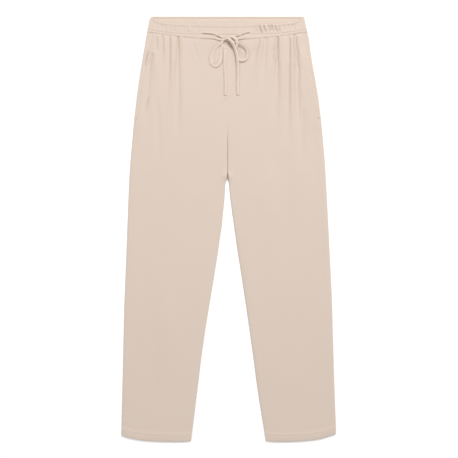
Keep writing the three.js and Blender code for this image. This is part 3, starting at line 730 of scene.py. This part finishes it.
# Front panels. Grid stretches end at (place, step). Noise is (height, scale across, scale down, seed).
frontPanel = {
    "columns": [(80, 2.2), (190, 1.05)],
    "rows": [(300, 2.8), (912, 5.6), (943, 1.5)],
    "softening": (6, 6),
    "wall": 1,
    "hemWall": 1.6,
    "hemWallEnd": (17, 19),  # up from the edge
    "hemStitches": 14,
    "hemDip": (0.4, 1.8),  # how far the stitches draw the cloth in, and over what width
    "hemNoise": (1.6, 17, 1, 3.3),
    "hemEdge": (1.8, 1.1),  # a rolled edge's width and depth
    "waistSeam": (1.8, 0.55),
    "waistSeamNoise": (2.2, 7, 1, 6.1),
    "sideRoll": 1.8,
    "sideFall": {"right": 1.1, "left": 0.5},
    "sideBulk": {"right": 0, "left": 1.3},  # how much the side seam's turned-in edges fill out the wall
    "sideBulkWidth": (1, 22),
    "sideBulkFrom": (60, 160),
    "mouthStitches": (1.5, 6.5),  # two lines along the pocket mouth, in from its edge
    "mouth": (46, 236),  # drops
    "mouthFade": 4,
    "mouthDip": (0.5, 1.2),
    "mouthEnd": (238, 246),
    "mouthFall": 0.35,
    "mouthStep": 4,
    "tack": (7, 1),  # the bar tack's ends, in from the edge
    "threadInset": 2,
    "closed": (220, 310),  # drops between which the closed, level centre seam ends
    "levelShare": 0.045,  # of the panel's width, beside that seam
    "seamHalf": 0.15,
    "seamWidth": 3,
    "groove": (2.6, 1.7),  # between the legs: width and depth
    "grooveFrom": (262, 316),
    "crotchDrop": 376,  # the small dark hollow above the place where the legs part
    "crotchReach": 8,
    "crotchOpening": (0.4, 12),  # how far, and over what width
    "crotchPuff": (4.2, 16),
    "rumple": (0.3, 26, 70, 3.7),
    "sway": (0.9, 75, 190, 9.1),
    "calmWidth": 10,
    "calmTop": (-2, 2),
    "calmSide": (-1, 4),
    "lowest": 2.5,
}

rightCreases = [
    # gathers below the waistband: sharp at the seam, wider and shallower further down
    (130, 44, 132, 100, 136, 210, 2.2, 40, 36, 0.02, 0.7, 2),
    (116.2, 42, 116, 84, 117.4, 150, -4.2, 1.8, 4, 0.02, 0.5, 1.6),
    (117.6, 92, 118.8, 180, 118, 310, -3.4, 4, 11, 0.2, 0.5, 2),
    (136.8, 44, 137, 100, 141, 200, -1.7, 1.7, 6, 0.03, 0.5, 1.8),
    (153.4, 44, 153.6, 82, 154, 140, -1.9, 2.2, 4.6, 0.05, 0.5, 1.8),
    (167.4, 42, 167.2, 58, 166.8, 84, -2, 1.6, 2.2, 0.1, 0.4, 2),
    (175, 84, 184.6, 122, 189, 176, -3.6, 2, 5, 0.15, 0.4, 1.8),
    (188, 124, 190, 190, 191, 310, -3.2, 3.4, 8, 0.2, 0.6, 2),
    (165, 190, 163, 270, 157, 420, -1.6, 5, 9, 0.3, 0.6, 2),
    (80, 60, 75, 84, 66, 112, -0.9, 2.4, 3.4, 0.2, 0.5, 2),
    (0, 197, 10, 205, 27, 217, -0.8, 2.2, 3, 0.05, 0.5, 2),
    (130, 46, 130, 110, 131, 280, 2, 3.4, 12, 0.03, 0.6, 2),
    (146.6, 46, 146.4, 72, 146, 110, 1.4, 2, 3, 0.05, 0.6, 2),
    (159.6, 44, 160, 70, 161, 100, 1.2, 2.2, 4, 0.05, 0.6, 2),
    (169.4, 78, 168.6, 118, 167, 200, 2.2, 5, 11, 0.2, 0.6, 2),
    (105.8, 44, 105.8, 76, 105.2, 126, 1.2, 1.2, 2, 0.05, 0.5, 2),
    # long soft drapes down the leg
    (128, 640, 134, 780, 140, 900, 1.6, 22, 22, 0.3, 0.3, 2),
    # the cloth under the bow: drawn in below the knot, puffed up inside the loop
    (1, 57, 5, 62, 11, 67, -4.4, 6, 5.4, 0.1, 0.2, 2.8),
    (0, 74, 6, 73.4, 13, 71.6, 1, 2, 2, 0.05, 0.3, 2),
    (24, 69, 25, 85, 28, 109, 1.3, 4.2, 4.2, 0.1, 0.1, 2),
]

leftCreases = [
    (130, 44, 130, 100, 132, 210, 2.4, 40, 36, 0.02, 0.7, 2),
    (117.2, 40, 117, 84, 115, 150, -4.6, 1.8, 3.8, 0.02, 0.5, 1.6),
    (115.4, 92, 113.6, 170, 108, 290, -3.6, 4, 11, 0.2, 0.5, 2),
    (113.4, 42, 109.6, 76, 104, 118, -3, 1.5, 2, 0.05, 0.3, 1.8),
    (91, 44, 86, 100, 81, 190, -3.2, 4.4, 8, 0.05, 0.5, 2),
    (82, 48, 74, 98, 67, 170, 2.6, 5, 8, 0.1, 0.5, 2),
    (77, 48, 68, 76, 52, 112, -2.6, 2.6, 7, 0.1, 0.5, 2),
    (145, 46, 145, 90, 143, 150, -1.6, 1.7, 4.4, 0.05, 0.6, 1.8),
    (143.4, 104, 142, 190, 139, 320, -2.4, 4.4, 10, 0.2, 0.5, 2),
    (157.4, 38, 158.8, 62, 162.4, 108, -6.4, 2.3, 3.6, 0.02, 0.3, 1.6),
    (161.4, 72, 163.4, 112, 165, 170, -3.6, 3, 7, 0.3, 0.5, 1.8),
    (168, 120, 166, 210, 172, 330, 1.8, 14, 16, 0.3, 0.4, 2),
    (164.4, 110, 162.8, 190, 173, 340, -5.6, 4.4, 8, 0.15, 0.5, 2),
    (178, 210, 175, 280, 170, 400, -2.2, 6, 9, 0.3, 0.5, 2),
    (64, 76, 62, 88, 56, 108, -0.8, 1.8, 2.4, 0.2, 0.4, 2),
    (111.6, 84, 110, 120, 103, 200, 1.4, 4, 9, 0.2, 0.6, 2),
    (122, 42, 122, 80, 121, 120, 1, 1.8, 3, 0.05, 0.6, 2),
    (130, 44, 130, 120, 126, 260, 1.2, 4, 7, 0.05, 0.6, 2),
    (150.4, 46, 151.6, 140, 154, 320, 2.8, 2.6, 12, 0.05, 0.5, 2),
    (170, 44, 172, 80, 176, 150, 2, 6, 9, 0.03, 0.5, 2),
    (190, 70, 200, 150, 214, 290, 1.7, 13, 20, 0.3, 0.5, 2),
    (100, 330, 96, 430, 92, 560, 1.6, 16, 20, 0.3, 0.4, 2),
    (1, 58, 7, 65, 16, 77, -4.4, 6, 5, 0.1, 0.2, 2.8),
    (0, 196, 5, 193, 12, 186, -0.8, 2.2, 3, 0.05, 0.4, 2),
    (30, 77, 36, 84, 38, 93, 1.3, 4.2, 4.2, 0.1, 0.1, 2),
]
frontCreases = {"right": rightCreases, "left": leftCreases}


def makeFrontPanel(label, side):
    given, name = frontPanel, "front_panel_" + label
    solid = Solid(name, side, panelCorners)
    across, drop, height = layOut(solid, given)
    fromInner, fromOuter, fromTop, fromHem = fromEdges(across, drop)

    # the centre seam, closed and level, and the hollow at its end
    closed = fade(*given["closed"], drop)
    columns = shares(given["columns"])
    level = int(np.argmax(columns > given["levelShare"]))
    levelled = blend(height, height[:, level : level + 1], closed)
    height = np.where(columns[None, :] < given["levelShare"], levelled, height)
    meeting = np.minimum(across[:, :1], given["seamHalf"])
    nearCrotch = hump(drop - given["crotchDrop"], 1, given["crotchReach"])
    across = across - falling(fromInner, meeting * closed, given["seamWidth"])
    across = across + falling(fromInner, *given["crotchOpening"]) * nearCrotch
    height += falling(fromInner, *given["crotchPuff"]) * nearCrotch

    # creases, calm near the edges
    relief = creaseRelief(across, drop, frontCreases[label])
    relief += noiseField(across, drop, side, given["rumple"]) + noiseField(across, drop, side, given["sway"])
    calm = smoothStep(0, given["calmWidth"], np.minimum(fromHem, fromInner + given["calmWidth"] * closed))
    calm = calm * smoothStep(*given["calmTop"], fromTop) * smoothStep(*given["calmSide"], fromOuter)
    bulk = given["sideBulk"][label] * fade(*given["sideBulkWidth"], fromOuter)
    bulk = bulk * smoothStep(*given["sideBulkFrom"], drop)
    height = softFloor(height + relief * calm, given["lowest"]) + bulk

    # edges, stitch lines and the groove between the legs
    sideFall = blend(given["sideFall"][label], given["mouthFall"], fade(*given["mouthEnd"], drop))
    height -= rolledEdge(fromOuter, given["sideRoll"], sideFall)
    height -= rolledEdge(fromTop, *given["waistSeam"]) * uneven(across, side, given["waistSeamNoise"])
    height -= rolledEdge(fromHem, *given["hemEdge"])
    hemDip = hump(fromHem - given["hemStitches"], *given["hemDip"])
    height -= hemDip * uneven(across, side, given["hemNoise"], 0.2)
    alongMouth = smoothStep(-given["mouthFade"], given["mouthFade"], between(*given["mouth"], drop))
    for inset in given["mouthStitches"]:
        height -= hump(fromOuter - inset, *given["mouthDip"]) * alongMouth
    height -= rolledEdge(fromInner, *given["groove"]) * smoothStep(*given["grooveFrom"], drop)
    wall = blend(given["wall"], given["hemWall"], fade(*given["hemWallEnd"], fromHem)) + bulk
    piece = layCloth(name, side, across, drop, height, height - wall, panelKind)

    # thread along the hem and the pocket mouth
    inside = np.minimum(fromInner[-1], fromOuter[-1]) > given["threadInset"]
    stitches = hemStitches(side, across, drop, inside)
    drops, lowest = np.arange(*given["mouth"], given["mouthStep"]), given["mouth"][1]
    for inset in given["mouthStitches"]:
        edge = solid.edgeAt(solid.outer, 1, drops) - inset
        stitches += stitchesAlong(np.stack([side * edge, drops], axis=1))
    edge = float(solid.edgeAt(solid.outer, 1, lowest))
    stitches += barTack(*[side * (edge - inset) for inset in given["tack"]], lowest)
    sew(name + "_thread", piece, stitches)


for label, side in sides.items():
    makeFrontPanel(label, side)
print("front panels ready")

# Back panels, flat where they rest
backPanel = {
    "columns": [(190, 3)],
    "rows": [(930, 6), (962, 1.5)],
    "hollow": 0.5,  # how far the underside lifts off at most, between the places where it rests
    "hollowNoise": [(1.5, 46, 150, 2.3), (0.9, 15, 60, 6.6)],
    "seam": (1.8, 0.55),
    "stitchLift": (0.5, 1.8),
    "threadInset": 2,
    "least": 0.9,  # of the cloth's thickness
    "crotchSink": (3, 11),
    "crotchWidth": (3, 14),
    "crotchLowest": 0.7,
}


def makeBackPanel(label, side):
    given, name = backPanel, "back_panel_" + label
    across, drop, height = layOut(Solid(name, side, panelCorners), given)
    sink = hump(drop - frontPanel["crotchDrop"], *given["crotchSink"]) * fade(*given["crotchWidth"], across)
    height = np.maximum(height - sink, np.minimum(height, given["crotchLowest"]))
    hollow = sum(noiseField(across, drop, side, field) for field in given["hollowNoise"])
    under = np.clip(hollow, 0, 1) * given["hollow"]
    fromSeam = np.minimum.reduce(fromEdges(across, drop))
    under += rolledEdge(fromSeam, *given["seam"])
    under += hump(drop[-1:] - drop - frontPanel["hemStitches"], *given["stitchLift"])
    under = np.maximum(np.minimum(under, height - given["least"]), 0)
    piece = layCloth(name, side, across, drop, height, under, panelKind)
    inside = fromSeam[len(fromSeam) // 2] > given["threadInset"]
    sew(name + "_thread", piece, hemStitches(side, across, drop, inside), below=True)


# The facing swells to just under the pocket mouth, as pressed cloth does.
pocketFacing = {
    "columns": [(30, 2)],
    "rows": [(205, 4)],
    "fill": 2.3,
    "fillEnd": (26, 44),  # in from the side seam
    "fillBottom": (-1, 4),
    "sink": 1.1,  # under the front panel
    "sinkFrom": (24, 32),
    "wall": 0.9,
    "above": 1.45,
    "sideEdge": (1.3, 0.9),
    "seamRise": 0.7,  # the side seam stands a little higher than the cloth beside it
    "seamRiseWidth": (2, 8),
    "gap": {"right": 2.6, "left": 0},  # how far the mouth stands off, and between which drops
    "gapDrops": (80, 122),
    "gapFade": 12,
    "gapNear": (5, 9),
    "gapFar": (15, 20),
}


def makeFacing(label, side):
    given, name = pocketFacing, "pocket_facing_" + label
    across, drop, height = layOut(Solid(name, side, panelCorners), given)
    fromSide, fromBottom = fromEdges(across, drop)[1::2]
    height += given["fill"] * fade(*given["fillEnd"], fromSide) * smoothStep(*given["fillBottom"], fromBottom)
    height += given["seamRise"] * fade(*given["seamRiseWidth"], fromSide)
    height -= rolledEdge(fromSide, *given["sideEdge"])
    gap = given["gap"][label] * smoothStep(0, given["gapFade"], between(*given["gapDrops"], drop))
    height -= gap * smoothStep(*given["gapNear"], fromSide) * fade(*given["gapFar"], fromSide)
    height -= given["sink"] * smoothStep(*given["sinkFrom"], fromSide)
    under = np.maximum(height - given["wall"], given["above"])
    layCloth(name, side, across, drop, height, under, panelKind)


for label, side in sides.items():
    makeBackPanel(label, side)
    makeFacing(label, side)
print("back panels and pocket facings ready")

# The waistband: what both halves share
band = {
    "columns": [(376, 0.85)],
    "rows": [(37, 0.75)],
    "rim": (0.3, 0.7, 1.2, 1.9),
    "topEdge": (2.2, 0.3),
    "seam": (2.2, 0.6),
    "seamNoise": (2.2, 8, 1, 4.4),
}

# The front half, with the drawstring's tunnel below its stitch line
frontBand = {
    "wall": 2.2,
    "flare": (1.6, 7),  # how far the open top edge stands up, and over what width
    "flareEnd": (168, 188),
    "stitchDip": (0.8, 0.9),
    "sewn": [(-184, -66), (56, 184)],  # across: none between the drawstring's exits
    "tunnelShares": (0.34, 0.2),  # of the band's height, in the middle and at the sides
    "tunnelNarrows": (40, 140),
    "tunnelSwell": 0.7,
    "swellWidth": (2.5, 4),
    "rumple": (0.25, 9, 14, 5.3),
    "lowest": 2.3,
    "underFrom": 1.6,
}

# Puckers over the tunnel: three places, rise and reach. "Across" is positive on the wearer's left.
tunnelPuckers = [
    (-81.2, 37, -81, 42, -81, 49, -0.5, 1), (-76.4, 37, -76.2, 43, -76, 50, -0.6, 1),
    (-71.4, 37, -71, 43, -71, 51, -0.5, 1), (-66, 37, -65.8, 43, -65.4, 51, -0.4, 1),
    (-108, 38, -107.6, 42, -107, 47, -0.5, 1.1), (-134, 37, -134, 41, -134, 45, -0.5, 1.1),
    (70, 38, 70.4, 43, 71, 50, -0.5, 1.1), (81, 38, 81, 43, 81, 50, -0.7, 1.2),
    (92, 38, 92, 43, 91.4, 49, -0.6, 1.2), (101, 38, 101.4, 42, 102, 48, -0.6, 1.2),
    (117.6, 37, 117.6, 41, 118, 46, -0.7, 1.2), (125, 36, 125, 40, 125, 45, -0.7, 1.2),
    (140, 34, 140, 38, 140, 43, -0.6, 1.3),
]
bandCreases = [
    # tight gathers beside the bow
    (66.2, 17, 69, 28, 70.9, 36.5, 1.5, 1.7, 0.15, 0.2, 2),
    (72.2, 17, 73.4, 28, 74.2, 37, -2.2, 1.3, 0.1, 0.15, 1.5),
    (76.6, 17, 80, 28, 84, 39, 1.8, 1.8, 0.15, 0.2, 2),
    (74.8, 24, 77.6, 34, 79, 39, -2.8, 1.3, 0.2, 0.15, 1.5),
    (84.6, 20, 86, 30, 89.5, 38, -2.4, 1.5, 0.3, 0.15, 1.5),
    (86, 19, 90.6, 28, 94, 36, 1.7, 1.7, 0.15, 0.25, 2),
    (96, 19, 97.2, 28, 99, 38, -2.1, 1.4, 0.2, 0.15, 1.5),
    (99.8, 18, 101, 27, 102, 35, 1.5, 1.3, 0.15, 0.25, 2),
    (103.2, 19, 103, 28, 103.4, 36, -2.1, 1.2, 0.15, 0.2, 1.5),
    (105.6, 18, 108, 26, 112, 34, 1.8, 1.8, 0.15, 0.25, 2),
    (110, 22, 112.5, 29, 114.4, 36, -1.5, 1.4, 0.25, 0.2, 1.5),
    (113.6, 18, 116.4, 27, 120.6, 36, 1.8, 1.8, 0.15, 0.2, 2),
    (120, 24, 121.6, 31, 122.4, 38, -2.2, 1.4, 0.25, 0.15, 1.5),
    (131, 20, 132, 28, 134, 34, -0.8, 1.8, 0.2, 0.2, 2),
    (141, 18, 143, 26, 145, 32, -0.8, 1.8, 0.2, 0.2, 2),
    (151, 18, 152, 24, 153, 30, -1.1, 1.8, 0.2, 0.2, 2),
    (156.6, 17, 156.8, 24, 157, 34, -1.5, 1.6, 0.3, 0.15, 1.5),
    (163, 14, 164, 22, 166, 30, -0.7, 2.2, 0.2, 0.3, 2),
    # soft gathers on the other side
    (-143.4, 37, -141.4, 28, -138.6, 20, 1, 1.8, 0.15, 0.3, 2),
    (-147.6, 36, -147, 28, -146, 20, -0.8, 1.8, 0.15, 0.3, 2),
    (-131.4, 34, -130.8, 26, -130.4, 18, 0.8, 1.8, 0.2, 0.3, 2),
    (-126.4, 38, -126, 30, -125.4, 22, -1, 1.6, 0.15, 0.4, 1.6),
    (-121.2, 39, -121, 34, -120.6, 29, -1, 1.2, 0.15, 0.5, 1.6),
    (-112, 38, -111, 33, -110, 25, -0.5, 1.6, 0.15, 0.4, 2),
    (-102.4, 39, -101.8, 34, -100.6, 26, -1, 1.3, 0.15, 0.5, 1.6),
    (-94.6, 39, -93.4, 33, -91, 22, -0.9, 1.5, 0.15, 0.5, 1.6),
    (-89, 36, -91.4, 29, -96, 20, 0.8, 1.8, 0.2, 0.3, 2),
    (-85.9, 39, -85.6, 35, -85, 29, -1, 1.2, 0.15, 0.5, 1.6),
    (-157, 34, -156, 26, -154, 18, -0.6, 2, 0.15, 0.3, 2),
    (-168, 32, -167, 24, -165, 16, -0.5, 2.2, 0.15, 0.3, 2),
    *[(*pucker, 0.15, 0.2, 1.6) for pucker in tunnelPuckers],
    # slits where the drawstring leaves the tunnel, below a lip of cloth, and the cloth raised beneath
    (-60, 38.9, -46, 39.7, -34, 41.1, 1.5, 1.6, 0.2, 0.1, 2),
    (-34, 41.1, -23, 45.3, -12, 51.9, 1.5, 1.6, 0.1, 0.2, 2),
    (-64, 41.5, -48, 42.1, -34, 43.5, -3.4, 1.3, 0.25, 0.05, 2),
    (-36, 43.2, -24, 47.7, -12, 54.3, -3.4, 1.3, 0.05, 0.1, 2),
    (-58, 49.9, -46, 50.5, -30, 53.7, 1, 1.8, 0.2, 0.2, 2),
    (54, 36.7, 44, 38.5, 33, 42.9, 1.4, 1.5, 0.2, 0.1, 2),
    (33, 42.9, 27, 44.9, 20, 47.9, 1.4, 1.5, 0.1, 0.2, 2),
    (53, 38.7, 43, 41, 33, 45.3, -3.2, 1.2, 0.15, 0.05, 2),
    (35, 44.6, 27, 47.3, 16, 51.7, -3, 1.2, 0.05, 0.1, 2),
    (50, 48.5, 41, 50.9, 30, 53.7, 1, 1.8, 0.2, 0.2, 2),
]


# The back half shows its inside, with a line of stitches below its edge. Its underside is gathered.
backBand = {
    "wall": 2.4,
    "stitchDrop": 5.3,
    "stitchDip": (1.5, 1.6),
    "sewn": [(-184, 184)],
    "rumple": (0.3, 12, 10, 8.9),
    "rumpleWidth": 3,
    "gather": 0.7,
    "gatherMean": 0.5,
    "gatherNoise": (1.4, 4.5, 60, 12.4),
    "least": 0.9,  # of the cloth's thickness
}


# Each half's top, from its height on the solid, and the drop of its line of stitches.
def frontBandTop(across, drop, height):
    given = frontBand
    share = blend(*given["tunnelShares"], smoothStep(*given["tunnelNarrows"], abs(across)))
    line = blend(drop[-1:], drop[:1], share)
    fromLine, fromSeam = given["swellWidth"]
    swell = smoothStep(0, fromLine, drop - line) * smoothStep(0, fromSeam, drop[-1:] - drop)
    height = height + creaseRelief(across, drop, bandCreases) + noiseField(across, drop, 1, given["rumple"])
    height += given["tunnelSwell"] * swell - hump(drop - line, *given["stitchDip"])
    height += falling(drop - drop[:1], *given["flare"]) * fade(*given["flareEnd"], abs(across))
    return softFloor(height, given["lowest"]), line


def backBandTop(across, drop, height):
    given = backBand
    line = np.full_like(across, given["stitchDrop"])
    rumple = noiseField(across, drop, 1, given["rumple"])
    rumple *= smoothStep(0, given["rumpleWidth"], drop - drop[:1])
    return height - hump(drop - line, *given["stitchDip"]) + rumple, line


def makeBand(name, given, shapeTop, shapeUnder):
    across, drop, height = layOut(Solid(name, 1, bandCorners), band)
    fromTop, fromSeam = fromEdges(across, drop)[2:]
    height, line = shapeTop(across, drop, height)
    height -= rolledEdge(fromTop, *band["topEdge"])
    height -= rolledEdge(fromSeam, *band["seam"]) * uneven(across, 1, band["seamNoise"])
    under = shapeUnder(across, drop, height)
    piece = layCloth(name, 1, across, drop, height, under, bandKind)
    rows, columns = np.argmin(abs(drop - line), axis=0), np.arange(across.shape[1])
    line = np.stack([across[rows, columns], line[rows, columns]], axis=1)
    stitches = []
    for low, high in given["sewn"]:
        stitches += stitchesAlong(line[(line[:, 0] > low) & (line[:, 0] < high)])
    sew(name + "_thread", piece, stitches)


def frontBandUnder(across, drop, height):
    return np.maximum(height - frontBand["wall"], frontBand["underFrom"])


def backBandUnder(across, drop, height):
    given = backBand
    gathers = np.clip(given["gatherMean"] + noiseField(across, drop, 1, given["gatherNoise"]), 0, 1)
    under = np.maximum(height - given["wall"], 0) + given["gather"] * gathers
    return np.minimum(under, height - given["least"])


makeBand("waistband_back", backBand, backBandTop, backBandUnder)
makeBand("waistband_front", frontBand, frontBandTop, frontBandUnder)
print("waistband ready")


# Floor and light

studio = {
    "floorColour": (0.96, 0.96, 0.96),
    "floorGlow": 0.16,
    "floorHeight": -0.0006,
    "floorHalf": 3,
    "floorRoughness": 0.95,
    "floorSpecular": 0.1,
    "worldColour": (1, 0.995, 0.99),
    "worldStrength": 0.575,
    "lights": {
        "key": {"place": (1, 2.2, 2.9), "size": 1.4, "power": 84},
        "fill": {"place": (-1.5, 0.4, 1.5), "size": 1.2, "power": 4.4},
    },
}


def makeStudio():
    half, low = studio["floorHalf"], studio["floorHeight"]
    corners = [(-half, -half, low), (half, -half, low), (half, half, low), (-half, half, low)]
    mesh = meshFrom("floor", corners, [(0, 1, 2, 3)])
    surface = {
        "Base Color": (*studio["floorColour"], 1), "Roughness": studio["floorRoughness"],
        "Specular IOR Level": studio["floorSpecular"], "Emission Color": (1, 1, 1, 1),
        "Emission Strength": studio["floorGlow"],
    }
    mesh.materials.append(newMaterial("floorPaper", surface)[0])
    floor = newObject("floor", mesh)
    world = bpy.data.worlds.new("studio")
    world.use_nodes = True
    glow = {"Color": (*studio["worldColour"], 1), "Strength": studio["worldStrength"]}
    setInputs(world.node_tree.nodes["Background"], glow)
    bpy.context.scene.world = world
    for label, given in studio["lights"].items():
        light = bpy.data.lights.new(label, "AREA")
        light.energy = given["power"]
        light.size = given["size"]
        lamp = newObject(label, light)
        lamp.location = given["place"]
        lamp.rotation_mode = "QUATERNION"
        lamp.rotation_quaternion = Vector(given["place"]).to_track_quat("Z", "Y")
    view = bpy.context.scene.view_settings
    view.view_transform = "Standard"
    view.look = "None"
    view.exposure = 0


makeStudio()
print("studio ready")
